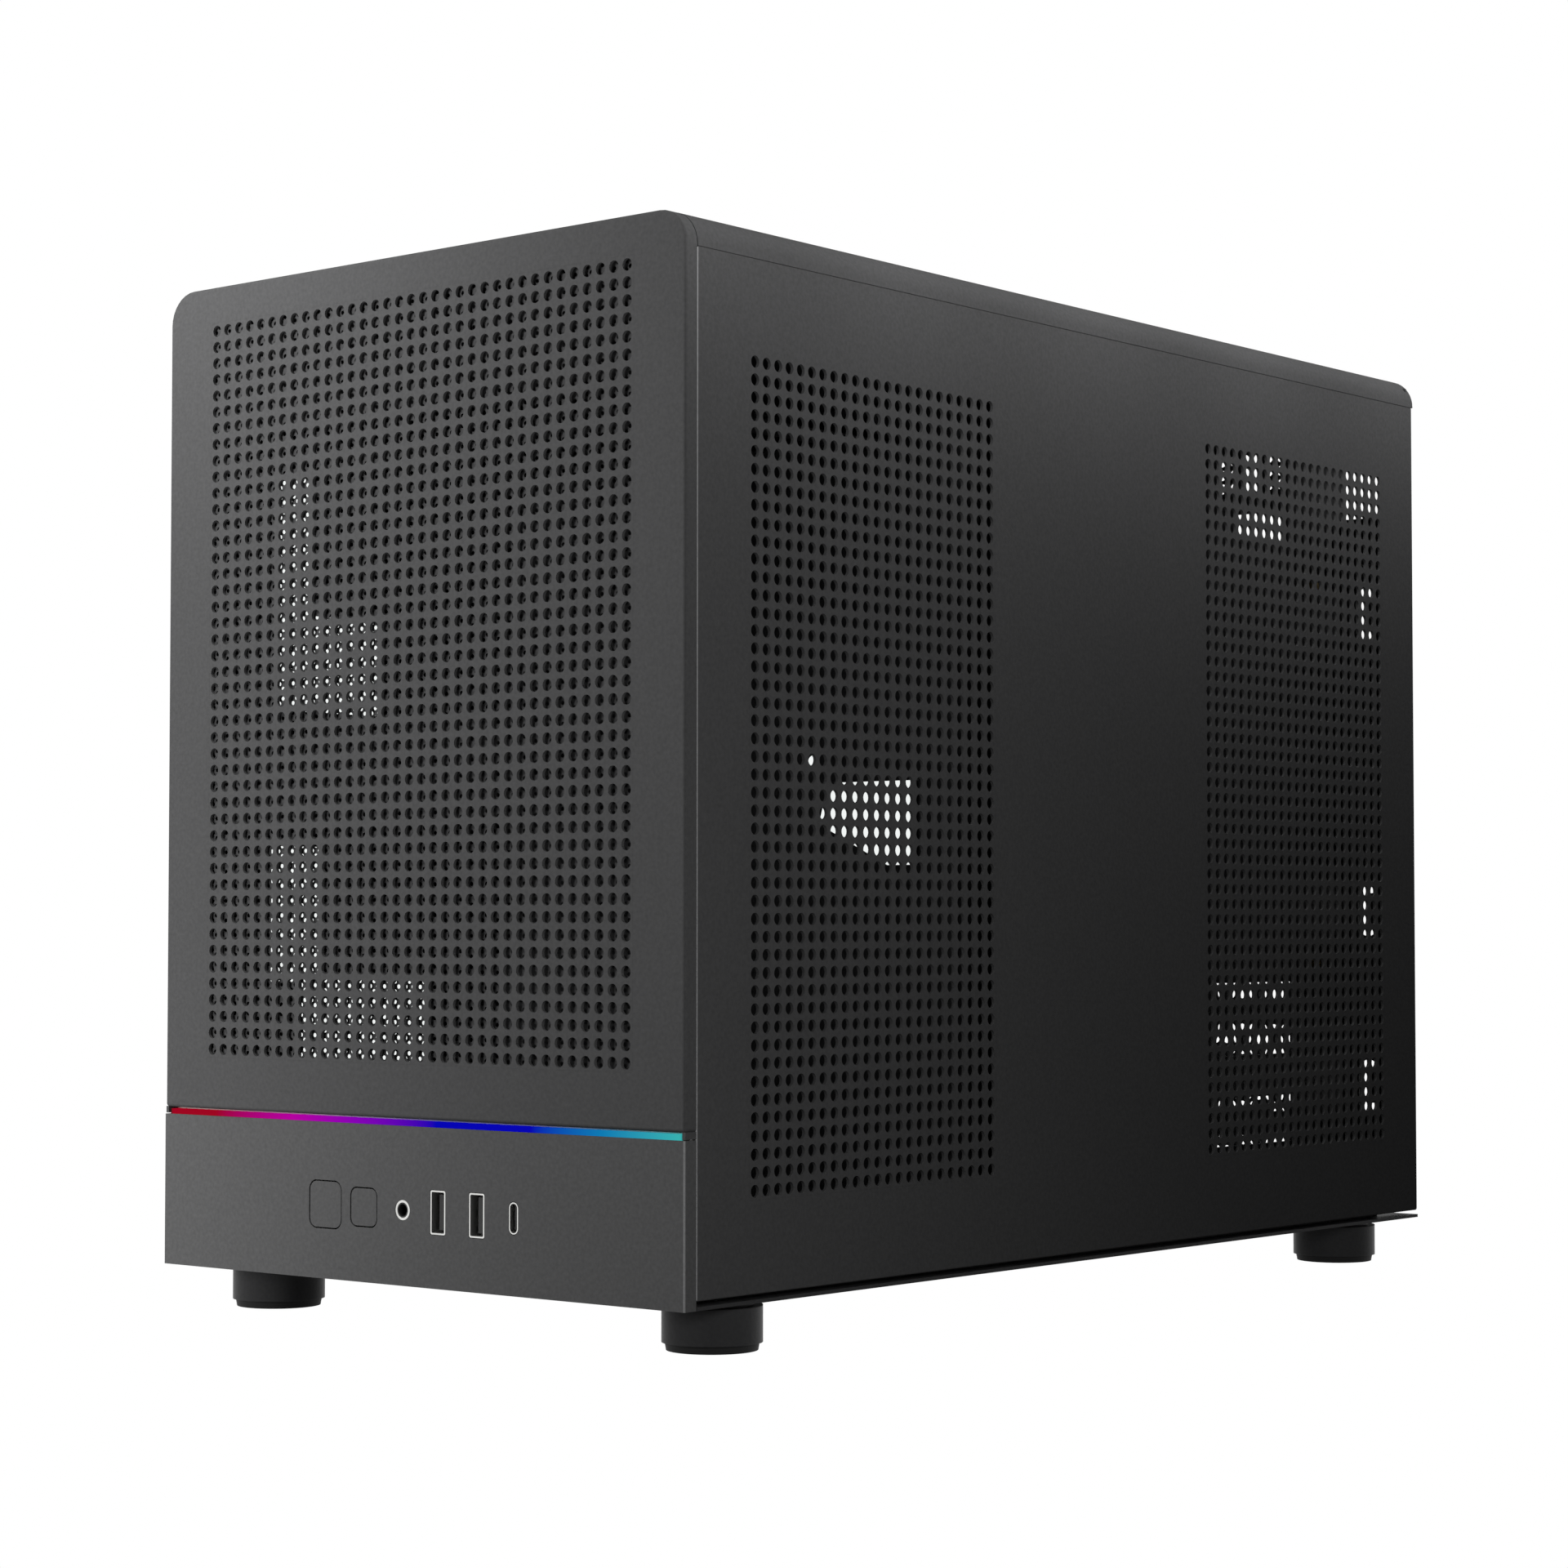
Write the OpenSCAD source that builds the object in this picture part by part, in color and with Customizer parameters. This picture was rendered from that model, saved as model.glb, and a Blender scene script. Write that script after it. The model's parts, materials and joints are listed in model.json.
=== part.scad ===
// Compact desktop computer case for micro ATX boards, mesh front, light bar, clip-on sides.
// Millimetres, +Z up, front at -Y, origin under the middle of the feet.

/* [Case] */
// Width over the front panel
body_w = 213; // [211:0.5:216]
// Depth from the front sheet to the rear edge of the top cover
body_d = 396; // [392:1:402]
// Height without feet
body_h = 300; // [299:0.5:303]
// Outer radius of the two top edges
corner_r = 10; // [8:0.5:10]
// Sheet thickness of the frame
sheet = 1; // [0.8:0.1:1.2]
// Sheet thickness of the front and top covers
cover_t = 1.2; // [1:0.1:1.5]
// Gap between parts that come off and their neighbours
seam = 0.3; // [0.3:0.05:0.5]

/* [Front] */
// Depth of the folded edges of the front
front_fold = 4.8; // [4:0.2:6]
// Height of the lower front panel
fascia_h = 46; // [44:0.5:50]
// Visible height of the light bar
light_h = 1.6; // [1.2:0.1:1.8]
// Shadow gap above the light bar
light_gap = 0.6; // [0.5:0.1:1]
// How far the light bar stays short of each side
light_short = 1.3; // [1:0.1:3]
// Pitch of the front perforation
front_pitch = 10; // [9:0.5:12]
// Diameter of the front holes
front_hole_d = 7; // [5:0.5:7.5]
// Plain border beside the front holes
front_margin = 17.8; // [17:0.1:25]
// Plain border above the front holes
front_top = 10; // [9:0.1:16]
// Plain border below the front holes
front_bottom = 14.4; // [12:0.1:20]

/* [Sides] */
// Pitch of the side perforation
side_pitch = 10; // [9:0.5:10]
// Diameter of the side holes
side_hole_d = 7; // [5:0.5:7.5]
// Length of each group of side holes
side_group_w = 117.4; // [80:0.2:118]
// Distance of each hole group's middle from the near end of the panel
side_group_y = 79.5; // [76:0.25:84]
// Plain border above and below the side holes
side_margin = 24.8; // [20:0.2:40]
// Height of the fold of the top cover
cover_fold = 10.3; // [10.3:0.1:12]
// Gap between the bottom edge of a side and the base
side_lift = 1.5; // [1.2:0.1:3]
// Depth of the folded edges of the right side
side_fold = 5.7; // [4:0.1:5.7]
// Thickness of the glass side
glass_t = 4; // [3:0.5:4]

/* [Controls] */
// Height of the row of controls above the case bottom
row_z = 21.8; // [20:0.2:24]
// Width of the power button
power_w = 13.2; // [10:0.2:14]
// Height of the power button
power_h = 13.5; // [10:0.2:15]
// Width of the reset button
reset_w = 10.6; // [8:0.2:11]
// Height of the reset button
reset_h = 10.9; // [8:0.2:12]
// Gap around a button
button_gap = 0.4; // [0.3:0.05:0.8]
// How far a button goes in
button_travel = 1.2; // [0.5:0.1:1.5]
// Width of a type A socket
usb_w = 6; // [5.6:0.1:6.2]
// Height of a type A socket
usb_h = 12.6; // [12:0.1:13]
// Width of the type C socket
usbc_w = 3.5; // [3.2:0.1:3.8]
// Height of the type C socket
usbc_h = 8.95; // [8.6:0.05:9.3]
// Outer diameter of the audio ring
jack_d = 5.8; // [5.7:0.1:7]
// Width of the audio ring's face
jack_ring = 0.7; // [0.5:0.05:0.7]
// Bore of the audio jack
jack_bore = 3.6; // [3.5:0.05:3.7]

/* [Inside] */
// Distance from the front face to the inner front wall
wall_in = 6; // [5.8:0.1:7]
// Distance from the outer side to the frame
frame_in = 7.5; // [7.5:0.1:9]
// Depth of the room for cables behind the board tray
cable_room = 19.8; // [18:0.1:21]
// Depth of the recess in the rear
recess = 14; // [12:0.5:15]
// Height of the power supply bracket above the case bottom
bracket_h = 250; // [240:1:252]
// Width of the power supply bracket
bracket_w = 158; // [156:1:160]
// Width of the opening in the power supply bracket
bracket_open = 128; // [124:1:130]
// Distance of the top row of board screws from the top
board_drop = 51.9; // [51:0.1:53]
// Spacing of the screws of a 120 mm fan
fan_pitch = 105; // [105:0.5:106]
// Diameter of a fan screw hole
fan_hole_d = 4.5; // [4:0.1:5]
// Diameter of the rear fan opening
rear_fan_d = 113; // [108:1:114]
// Width of the connector cut-out in the rear
io_w = 44.45; // [44:0.05:45]
// Height of the connector cut-out in the rear
io_h = 158.75; // [158:0.05:159]
// Pitch of the expansion slots
slot_pitch = 20.32; // [20:0.02:20.4]
// Height of a slot cover
slot_cover_h = 18.4; // [17.5:0.1:18.6]
// Height of a slot opening
slot_h = 14.5; // [12:0.5:15]
// Length of a slot opening
slot_len = 96; // [90:1:98]
// Pitch of the holes in a slot cover
cover_pitch = 4.5; // [4.4:0.1:6]
// Diameter of the holes in a slot cover
cover_hole_d = 3.4; // [2.5:0.1:3.6]
// Pitch of the vent above the connectors
vent_pitch = 5; // [4.6:0.1:5.2]
// Diameter of the holes of that vent
vent_d = 3.8; // [3:0.1:4]
// Height of the board supports
standoff_h = 6.35; // [5.5:0.05:7]
// Width over the flats of a board support
standoff_af = 5; // [4.5:0.1:5.5]
// Screw hole in a board support
standoff_bore = 2.5; // [2.4:0.1:2.8]
// Screw holes across the board, near to middle column
board_x1 = 154.94; // [154:0.02:156]
// Screw holes across the board, near to far column
board_x2 = 227.33; // [226:0.01:228]
// Screw holes down the board, top to middle row
board_z1 = 157.48; // [157:0.02:158]
// Screw holes down the board, top to bottom row
board_z2 = 226.06; // [225:0.02:227]

/* [Feet] */
// Height of a foot
foot_h = 14; // [12:0.5:18]
// Diameter of a foot
foot_d = 28.4; // [24:0.2:30]
// Diameter of a foot's pad
pad_d = 26.6; // [20:0.2:27]
// Thickness of a foot's pad
pad_t = 2.2; // [1.5:0.1:3]
// Distance of a foot's middle from the side
foot_in = 17.3; // [17:0.1:22]
// Gap under the base over the wide part of a foot
foot_neck = 1.5; // [1:0.1:3]

/* [Fits] */
// Shank diameter of the small screws
screw_d = 3; // [2.5:0.1:3]
// Gap around a screw shank
screw_gap = 0.2; // [0.2:0.05:0.4]
// Head diameter of the small screws
head_d = 5.8; // [5:0.1:6.5]
// Head height of the small screws
head_h = 2; // [1.6:0.1:2.4]
// Ball diameter of the panel studs
ball_d = 5.6; // [5:0.1:6]
// Gap between a ball and its clip
ball_gap = 0.35; // [0.3:0.05:0.5]

/* [Hidden] */
$fn = 40;

hw = body_w / 2;
yf = -body_d / 2;
yb = body_d / 2;
z0 = foot_h;
zt = foot_h + body_h;
frame_x = hw - frame_in;
y_open = yf + front_fold + seam;
side_x = hw - 0.2;
side_y1 = yb - 0.4;
side_z0 = z0 + sheet + side_lift;
side_z1 = zt - cover_fold - seam;
top_z = zt - cover_t - 0.2;
ledge_z = side_z1 - sheet - seam;
wall_y = yf + wall_in;
mesh_z0 = z0 + fascia_h + light_h + light_gap;
tray_x = frame_x - cable_room;
rear_y = yb - 2;
rec_y = yb - recess;
rec_x = tray_x - 1.5;
rim_y = side_y1 - sheet - seam;
row = z0 + row_z;
io_x1 = tray_x - standoff_h - 1.57 + 3.8;
board_y = rec_y - sheet - 12.2;
board_z = zt - board_drop;
bulk_y = board_y - board_x2 - 8.47;
bracket_y = wall_y + 31;
bracket_x = bracket_w / 2 - 10;
bracket_screw_z = z0 + bracket_h + 8;
io_z1 = board_z + 6.6;
slot_x1 = tray_x - 8.2;
slot_z = board_z - 165.4;
cover_gap = 0.1;
fan_z2 = row + 67;
fan_z1 = fan_z2 + 120;
rear_fan_x = -frame_x + 63;
rear_fan_z = zt - 84;
post_x = frame_x - 19;
x_power = -34.5;
x_reset = -18.2;
x_jack = -2;
x_usb1 = 12.4;
x_usb2 = 28;
x_usbc = 42.5;
board_face = wall_y + sheet + 7;
foot_yf = yf + 31.4;
foot_yr = yb - 29.1;
foot_x = hw - foot_in;
stud_z = [side_z0 + 24, side_z1 - 24];
stud_zr = [side_z0 + 24, side_z1 - 51.4];
web_x = frame_x - 8;
cover_x = hw - cover_t - 0.4;
cover_screw_x = web_x - 7;
stud_yf = wall_y + sheet + 8.5;
stud_yr = rec_y + 6;
peg_z = [mesh_z0 + 8, zt - 24];
peg_x = frame_x - 4.6;
front_z0 = mesh_z0 + front_bottom;
front_z1 = zt - front_top;

module sheet_y(y, t = sheet) {
    translate([0, y + t, 0]) rotate([90, 0, 0]) linear_extrude(t) children();
}

module sheet_x(x, t = sheet) {
    translate([x, 0, 0]) rotate([90, 0, 90]) linear_extrude(t) children();
}

module rrect(w, h, r) {
    square([w - 2 * r, h], center = true);
    square([w, h - 2 * r], center = true);
    for (sx = [-1, 1], sy = [-1, 1])
        translate([sx * (w / 2 - r), sy * (h / 2 - r)]) circle(r = r);
}

module arch(w, z_low, z_high, r) {
    translate([-w / 2, z_low]) square([w, z_high - z_low - r]);
    translate([-w / 2 + r, z_low]) square([w - 2 * r, z_high - z_low]);
    for (s = [-1, 1]) translate([s * (w / 2 - r), z_high - r]) circle(r = r);
}

module box(x0, x1, y0, y1, z_low, z_high) {
    translate([x0, y0, z_low]) cube([x1 - x0, y1 - y0, z_high - z_low]);
}

module rect(x0, x1, z_low, z_high) {
    translate([x0, z_low]) square([x1 - x0, z_high - z_low]);
}

module hole_grid(w, h, pitch, d) {
    hole_field(floor((w - d) / pitch) + 1, floor((h - d) / pitch) + 1, pitch, d);
}

module hole_field(cols, rows, pitch, d) {
    for (i = [0 : cols - 1], j = [0 : rows - 1])
        translate([(i - (cols - 1) / 2) * pitch, (j - (rows - 1) / 2) * pitch])
            circle(d = d, $fn = 24);
}

module screw_y(x, y, z, len, dir = 1) {
    translate([x, y, z]) rotate([dir > 0 ? -90 : 90, 0, 0]) {
        translate([0, 0, -head_h]) cylinder(d = screw_d, h = len + head_h);
        translate([0, 0, -head_h]) cylinder(d = head_d, h = head_h);
    }
}

// Frame

module base_plate() {
    color([0.2, 0.2, 0.21]) {
        difference() {
            box(-hw, hw, y_open, side_y1, z0, z0 + sheet);
            for (x = [-foot_x, foot_x], y = [foot_yf, foot_yr])
                translate([x, y, z0 - 1]) cylinder(d = screw_d + 2 * screw_gap, h = sheet + 2);
        }
        for (s = [-1, 1])
            translate([s > 0 ? frame_x - sheet : -frame_x, 0, 0])
                box(0, sheet, wall_y + 16, rec_y - 2, z0, z0 + sheet + 12);
    }
}

module wall_flange_2d(y0, y1) {
    difference() {
        rect(y0, y1, z0 + sheet, ledge_z);
        for (z = stud_z) translate([stud_yf, z]) circle(d = ball_d + 2 * ball_gap + 1);
    }
}

module front_wall() {
    color([0.2, 0.2, 0.21]) {
        sheet_y(wall_y) difference() {
            rect(-frame_x, frame_x, z0 + sheet, ledge_z);
            rect(-frame_x + 11, frame_x - 11, fan_z1 - 46.5, fan_z1 + 46.5);
            rect(-frame_x + 11, frame_x - 11, fan_z2 - 46.5, fan_z2 + 46.5);
            rect(-44, 50, row - 10, row + 10);
            for (x = [-fan_pitch / 2, fan_pitch / 2], z = [fan_z1, fan_z2], s = [-1, 1])
                translate([x, z + s * fan_pitch / 2]) circle(d = fan_hole_d);
            for (s = [-1, 1], z = peg_z) translate([s * peg_x, z]) circle(d = 5.2);
            for (s = [-1, 1]) translate([s * post_x, row]) circle(d = screw_d + 2 * screw_gap);
            for (x = [-47.5, 53.5], z = [row - 8, row + 8])
                translate([x, z]) circle(d = screw_d + 2 * screw_gap);
        }
        for (s = [-1, 1])
            sheet_x(s > 0 ? frame_x - sheet : -frame_x)
                wall_flange_2d(wall_y, wall_y + sheet + 14);
    }
}

module rear_panel() {
    sx = slot_x1 - slot_len;
    low = z0 + sheet + 12.3;
    high = top_z - sheet;
    color([0.2, 0.2, 0.21]) {
        sheet_y(rec_y - sheet) difference() {
            union() {
                rect(-frame_x, rec_x, low, ledge_z);
                rect(-web_x + 0.2, rec_x, low, high);
            }
            rect(io_x1 - io_w, io_x1, io_z1 - io_h, io_z1);
            for (k = [0 : 3])
                translate([sx, slot_z - k * slot_pitch - slot_h / 2]) square([slot_len, slot_h]);
            rect(sx - 11.4, sx - 10, slot_z - 3.5 * slot_pitch, slot_z + 0.5 * slot_pitch);
            translate([io_x1 - io_w / 2, zt - 30.4]) hole_field(8, 3, vent_pitch, vent_d);
            translate([rear_fan_x, rear_fan_z]) fan_grille_2d();
            for (x = [-1, 1], z = [-1, 1])
                translate([rear_fan_x + x * fan_pitch / 2, rear_fan_z + z * fan_pitch / 2])
                    circle(d = fan_hole_d);
        }
        // step from the recess to the strip beside the cable space
        box(rec_x - sheet, rec_x, rec_y - sheet, rear_y, low, high);
        sheet_y(rear_y - sheet) difference() {
            union() {
                rect(rec_x - sheet, frame_x, low, ledge_z);
                rect(rec_x - sheet, web_x - 0.2, low, high);
            }
            rect(rec_x + 0.4, frame_x - 2.2, zt - 49, zt - 23);
            for (z = [zt - 83.7, zt - 190.6, zt - 253.9])
                translate([frame_x - 10.6, z]) tie_slot_2d();
        }
        // hem beside the cable space; the rear clips sit on the strip and touch it
        box(frame_x - sheet, frame_x, rear_y - 3, rear_y, low, ledge_z);
        sheet_x(-frame_x) difference() {
            rect(rec_y - 14, rim_y, low, ledge_z);
            rect(rec_y + 0.2, rim_y + 1, slot_z - 3.5 * slot_pitch, slot_z + 0.6 * slot_pitch);
            for (z = [stud_z[0] + 90, stud_z[1]])
                translate([stud_yr, z]) circle(d = ball_d + 2 * ball_gap + 1);
        }
        // shelf that takes the slot screws
        difference() {
            box(sx - 10, sx - 10 + sheet, rec_y - sheet, rec_y + 11.4,
                slot_z - 3.5 * slot_pitch, slot_z + 0.5 * slot_pitch);
            for (k = [0 : 3])
                translate([sx - 12, rec_y + 6, slot_z - k * slot_pitch]) rotate([0, 90, 0])
                    cylinder(d = screw_d + 2 * screw_gap, h = 6);
        }
    }
}

// oval with a hook tab in its right half
module tie_slot_2d() {
    difference() {
        rrect(8, 19, 3.9);
        translate([0.6, -6]) square([5, 12]);
    }
}

module fan_grille_2d() {
    for (i = [-8 : 8], j = [-7 : 7]) {
        x = 7.6 * (i + (abs(j) % 2) / 2);
        z = 6.6 * j;
        if (x * x + z * z < pow(rear_fan_d / 2 - 3.4, 2)) translate([x, z]) circle(d = 6, $fn = 24);
    }
}

module psu_bulkhead() {
    color([0.2, 0.2, 0.21]) {
        sheet_y(bulk_y) difference() {
            rect(-frame_x, frame_x, z0 + sheet, ledge_z);
            for (s = [-1, 1])
                rect(s > 0 ? frame_x - sheet - 0.2 : -frame_x - 1,
                     s > 0 ? frame_x + 1 : -frame_x + sheet + 0.2, z0, z0 + sheet + 12.3);
            // cut for cables with a slanted lower corner, and a small hole above it
            translate([tray_x + 4.8, z0 + 122.4])
                polygon([[0, 0], [-12.8, 0], [-38, 12.2], [-39.2, 15], [-37.8, 20], [-33.5, 25.8],
                         [0, 25.8]]);
            translate([tray_x - 37.3, z0 + 154.9]) circle(d = 4);
            rect(-70, 0, z0 + 12, z0 + 34);
            for (x = [-bracket_x, 0, bracket_x])
                translate([x, bracket_screw_z]) circle(d = screw_d + 2 * screw_gap);
        }
        for (s = [-1, 1])
            box(s > 0 ? frame_x - sheet : -frame_x, s > 0 ? frame_x : -frame_x + sheet,
                bulk_y, bulk_y + sheet + 10, z0 + sheet + 12.3, ledge_z);
    }
}

module psu_shroud() {
    y0 = wall_y + sheet + 14.2;
    y1 = bulk_y - 0.1;
    k = (y1 - y0) / 110.7;
    color([0.2, 0.2, 0.21]) sheet_x(-frame_x) difference() {
        rect(y0, y1, z0 + sheet + 12.3, ledge_z);
        // two windows, each an upright and a foot
        rect(y0 + 14.8 * k, y0 + 29.8 * k, fan_z1 - 35.8, fan_z1 + 38.2);
        rect(y0 + 27.8 * k, y0 + 60.8 * k, fan_z1 - 36.8, fan_z1 - 5.8);
        rect(y0 + 13.8 * k, y0 + 35.8 * k, fan_z2 - 2.8, fan_z2 + 40.2);
        rect(y0 + 26.8 * k, y0 + 83.8 * k, fan_z2 - 29.8, fan_z2 - 1.8);
    }
}

module psu_bracket() {
    w = bracket_w / 2;
    z = z0 + bracket_h;
    color([0.2, 0.2, 0.21]) {
        translate([0, 0, z]) linear_extrude(cover_t) difference() {
            rect(-w, w, bracket_y, bulk_y);
            rect(-bracket_open / 2, bracket_open / 2, bulk_y - 80, bulk_y - 18);
            for (p = [[-69, 15], [-69, 79], [45, 15], [69, 79]])
                translate([p[0], bulk_y - p[1]]) circle(d = screw_d + 0.8);
        }
        difference() {
            box(-w, w, bulk_y - cover_t, bulk_y, z, z + 14);
            for (x = [-bracket_x, 0, bracket_x])
                translate([x, bulk_y - 3, bracket_screw_z]) rotate([-90, 0, 0])
                    cylinder(d = screw_d + 2 * screw_gap, h = 6);
        }
    }
}

module motherboard_tray() {
    y0 = bulk_y + sheet + 0.2;
    color([0.2, 0.2, 0.21]) {
        sheet_x(tray_x) difference() {
            rect(y0, rec_y + 8, z0 + sheet, ledge_z);
            rect(board_y - 60.8, board_y - 15.8, board_z + 3, board_z + 34.9);
            rect(board_y - 49.6, board_y - 15.8, board_z - 9.3, board_z + 4);
            rect(board_y - 66.8, board_y - 14.3, board_z - board_z2 + 6, board_z - board_z2 + 22.4);
            rect(board_y - 66.8, board_y - 14.3, board_z - board_z1 - 31.7, board_z - board_z1 - 6.6);
            rect(board_y - 184.6, board_y - 92.6, board_z - 88.1, board_z - 8);
            rect(y0 - 1, y0 + 12, z0 + 119, z0 + 152);
            rect(y0 + 30, y0 + 80, z0 + 5, z0 + 12);
            rect(y0 + 130, y0 + 180, z0 + 5, z0 + 12);
            board_points() circle(d = 3.4);
        }
        box(tray_x, foot_x - screw_d / 2 - 1, y0 + 14, rec_y - 2, z0 + sheet, z0 + 2 * sheet);
        box(tray_x, tray_x + 9, y0 + 14, rec_y - 2, ledge_z - sheet, ledge_z);
    }
}

module board_points() {
    for (p = [[0, -22.86], [0, -board_z1], [0, -board_z2], [board_x1, 0],
              [board_x1, -board_z1], [board_x1, -board_z2], [board_x2, 0],
              [board_x2, -board_z1], [board_x2, -board_z2]])
        translate([board_y - p[0], board_z + p[1]]) children();
}

module standoffs() {
    color([0.75, 0.62, 0.3]) translate([tray_x, 0, 0]) rotate([90, 0, 90]) board_points()
        translate([0, 0, -standoff_h]) difference() {
            union() {
                cylinder(d = standoff_af / cos(30), h = standoff_h, $fn = 6);
                cylinder(d = 3, h = standoff_h + 3.5);
            }
            translate([0, 0, -1]) cylinder(d = standoff_bore, h = standoff_h);
        }
}

module top_frame() {
    y0 = wall_y + 1;
    bar = 22.4;
    gap = (rim_y - y0 - 3 * bar) / 2;
    color([0.2, 0.2, 0.21]) {
        translate([0, 0, top_z - sheet]) linear_extrude(sheet) difference() {
            rect(-web_x - sheet, web_x + sheet, y0, rim_y);
            for (y = [y0 + bar, y0 + 2 * bar + gap])
                rect(-web_x + 15, web_x - 15, y, y + gap);
            for (x = [-cover_screw_x, cover_screw_x], y = [yf + 60, yb - 60])
                translate([x, y]) circle(d = screw_d + 2 * screw_gap);
        }
        for (s = [-1, 1]) {
            box(s > 0 ? web_x : -web_x - sheet, s > 0 ? web_x + sheet : -web_x, y0, rim_y,
                ledge_z, top_z);
            box(s > 0 ? web_x : -frame_x, s > 0 ? frame_x : -web_x, y0, rim_y,
                ledge_z, ledge_z + sheet);
            // ends that close the space beside the web at the rear
            box(s > 0 ? web_x : -cover_x, s > 0 ? cover_x : -web_x, rim_y - sheet, rim_y,
                side_z1 + seam, top_z - 2);
        }
    }
}

module cover_screws() {
    color([0.5, 0.5, 0.52]) for (x = [-cover_screw_x, cover_screw_x], y = [yf + 60, yb - 60])
        translate([x, y, top_z - sheet - head_h]) {
            cylinder(d = head_d, h = head_h);
            cylinder(d = screw_d, h = head_h + sheet + 0.9);
        }
}

module top_cover() {
    w = body_w;
    color([0.27, 0.27, 0.28]) difference() {
        sheet_y(y_open, yb - y_open) difference() {
            arch(w, zt - 3 * corner_r, zt, corner_r);
            arch(w - 2 * cover_t, zt - 4 * corner_r, zt - cover_t, corner_r - cover_t);
            rect(-w, w, zt - 5 * corner_r, zt - cover_fold);
        }
        for (x = [-cover_screw_x, cover_screw_x], y = [yf + 60, yb - 60])
            translate([x, y, zt - cover_t - 1]) cylinder(d = screw_d + 2 * screw_gap, h = 1.8);
    }
}

// Front

module front_mesh_panel() {
    color([0.27, 0.27, 0.28]) {
        sheet_y(yf, cover_t) difference() {
            arch(body_w, mesh_z0, zt, corner_r);
            translate([0, (front_z0 + front_z1) / 2])
                hole_grid(body_w - 2 * front_margin, front_z1 - front_z0, front_pitch, front_hole_d);
        }
        sheet_y(yf, front_fold) difference() {
            arch(body_w, mesh_z0, zt, corner_r);
            arch(body_w - 2 * cover_t, mesh_z0 + cover_t, zt - cover_t, corner_r - cover_t);
        }
    }
}

module front_pegs() {
    color([0.1, 0.1, 0.1]) for (s = [-1, 1], z = peg_z)
        translate([s * peg_x, yf + cover_t, z]) rotate([-90, 0, 0]) {
            cylinder(d = 6, h = 4);
            cylinder(d = 3.6, h = 8);
            translate([0, 0, 8]) sphere(d = 4.4);
        }
}

module front_clips() {
    color([0.1, 0.1, 0.1]) for (s = [-1, 1], z = peg_z)
        translate([s * peg_x, wall_y + sheet, z]) rotate([-90, 0, 0]) difference() {
            translate([-3.2, -4, 0]) cube([6.4, 8, 7]);
            translate([0, 0, -1]) cylinder(d = 5.2, h = 7);
        }
}

module dust_filter() {
    w = 2 * (peg_x - 3.4);
    z_low = front_z0 - 3.3;
    h = front_z1 - front_z0 + 6.6;
    nx = 7;
    nz = 9;
    color([0.12, 0.12, 0.12]) sheet_y(yf + cover_t, 0.8) difference() {
        rect(-w / 2, w / 2, z_low, z_low + h);
        for (i = [0 : nx - 1], j = [0 : nz - 1])
            translate([-w / 2 + 3.5 + i * (w - 6) / nx, z_low + 3.5 + j * (h - 6) / nz])
                square([(w - 6) / nx - 1, (h - 6) / nz - 1]);
    }
}

module front_fascia() {
    f = button_gap;
    color([0.27, 0.27, 0.28]) {
        sheet_y(yf, cover_t) difference() {
            rect(-hw, hw, z0, z0 + fascia_h);
            translate([x_power, row]) rrect(power_w + 2 * f, power_h + 2 * f, 3);
            translate([x_reset, row]) rrect(reset_w + 2 * f, reset_h + 2 * f, 2.6);
            translate([x_jack, row]) circle(d = jack_d + 0.2);
            for (x = [x_usb1, x_usb2]) translate([x, row]) rrect(usb_w + 0.4, usb_h + 0.4, 0.8);
            translate([x_usbc, row]) rrect(usbc_w + 0.4, usbc_h + 0.4, usbc_w / 2 + 0.1);
        }
        sheet_y(yf, front_fold) difference() {
            rect(-hw, hw, z0, z0 + fascia_h);
            rect(-hw + cover_t, hw - cover_t, z0 + cover_t, z0 + fascia_h - cover_t);
        }
        for (s = [-1, 1]) translate([s * post_x, yf + 0.5, row]) rotate([-90, 0, 0]) difference() {
            cylinder(d = 7, h = wall_y - yf - 0.5);
            translate([0, 0, cover_t + 0.5]) cylinder(d = screw_d + 0.1, h = 9);
        }
    }
}

module fascia_screws() {
    color([0.5, 0.5, 0.52]) for (s = [-1, 1])
        screw_y(s * post_x, wall_y + sheet, row, sheet + 3, -1);
}

module light_diffuser() {
    x = hw - light_short;
    color([0.1, 0.3, 0.8])
        box(-x, x, yf + 1, yf + front_fold - 1.2, z0 + fascia_h, z0 + fascia_h + light_h);
}

module light_strip_board() {
    x = hw - light_short;
    color([0.9, 0.9, 0.88])
        box(-x, x, yf + front_fold - 1.2, yf + front_fold - 0.1, z0 + fascia_h, mesh_z0 - seam);
}

module button(w, h, r, x) {
    translate([x, 0, row]) {
        translate([0, yf + 0.1, 0]) translate([0, 4, 0]) rotate([90, 0, 0])
            linear_extrude(4) rrect(w, h, r);
        translate([0, yf + 3.1, 0]) rotate([-90, 0, 0]) cylinder(d = 3, h = 4);
    }
}

module power_button() {
    color([0.2, 0.2, 0.21]) button(power_w, power_h, 2.7, x_power);
}

module reset_button() {
    color([0.2, 0.2, 0.21]) button(reset_w, reset_h, 2.3, x_reset);
}

module switch_body(x) {
    y1 = yf + 7.1 + button_travel + seam;
    box(x - 3.1, x + 3.1, y1, board_face, row - 3.1, row + 3.1);
}

module power_switch() {
    color([0.1, 0.1, 0.1]) switch_body(x_power);
}

module reset_switch() {
    color([0.1, 0.1, 0.1]) switch_body(x_reset);
}

module io_board() {
    color([0.08, 0.2, 0.12]) sheet_y(board_face, 1.6) difference() {
        rect(-51, 57, row - 12, row + 12);
        for (x = [-47.5, 53.5], z = [row - 8, row + 8])
            translate([x, z]) circle(d = screw_d + 2 * screw_gap);
    }
}

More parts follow.
